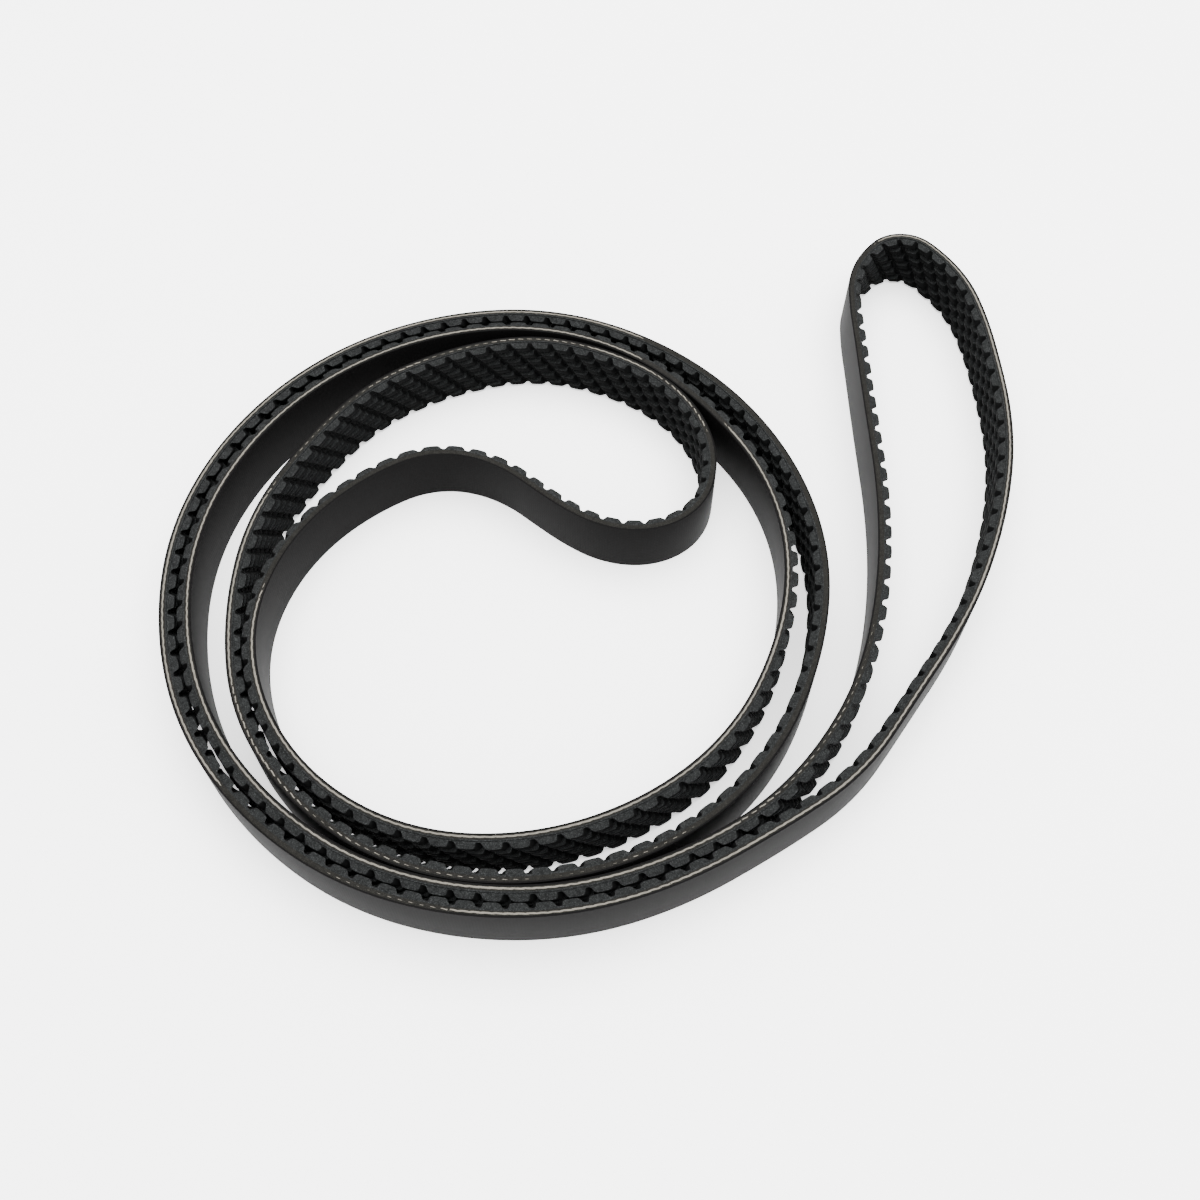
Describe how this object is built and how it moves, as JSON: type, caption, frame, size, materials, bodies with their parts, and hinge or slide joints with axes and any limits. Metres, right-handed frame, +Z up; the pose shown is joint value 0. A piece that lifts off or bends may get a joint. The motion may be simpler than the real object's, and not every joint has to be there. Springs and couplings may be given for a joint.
{
  "type": "cogged multi-rib drive belt",
  "caption": "Endless black rubber multi-rib drive belt with slanting cross notches, standing on its edge in a doubled coil with one open loop.",
  "frame": {"origin": "on the floor, under the middle of the coiled belt's bounding box", "axes": "+Z up, square to the floor the belt stands on and along the belt's width; +X along the coil's longest extent, towards the open outer loop; +Y away from the doubled strands at the coil's foot, towards the far side of the coil"},
  "size_m": [0.277, 0.2577, 0.0214],
  "materials": {
    "back_rubber": "satin",
    "gum_rubber": "matt",
    "cord_fibre": "twisted cord",
    "rib_rubber": "ground matt with short fibres"
  },
  "bodies": {
    "root": {"back_cover": "back_rubber", "adhesion_gum_outer": "gum_rubber", "adhesion_gum_inner": "gum_rubber", "tension_cord_01": "cord_fibre", "tension_cord_02": "cord_fibre", "tension_cord_03": "cord_fibre", "tension_cord_04": "cord_fibre", "tension_cord_05": "cord_fibre", "tension_cord_06": "cord_fibre", "tension_cord_07": "cord_fibre", "tension_cord_08": "cord_fibre", "tension_cord_09": "cord_fibre", "tension_cord_10": "cord_fibre", "tension_cord_11": "cord_fibre", "tension_cord_12": "cord_fibre", "tension_cord_13": "cord_fibre", "tension_cord_14": "cord_fibre", "tension_cord_15": "cord_fibre", "tension_cord_16": "cord_fibre", "tension_cord_17": "cord_fibre", "rib_1": "rib_rubber", "rib_2": "rib_rubber", "rib_3": "rib_rubber", "rib_4": "rib_rubber", "rib_5": "rib_rubber", "rib_6": "rib_rubber"}
  },
  "joints": []
}
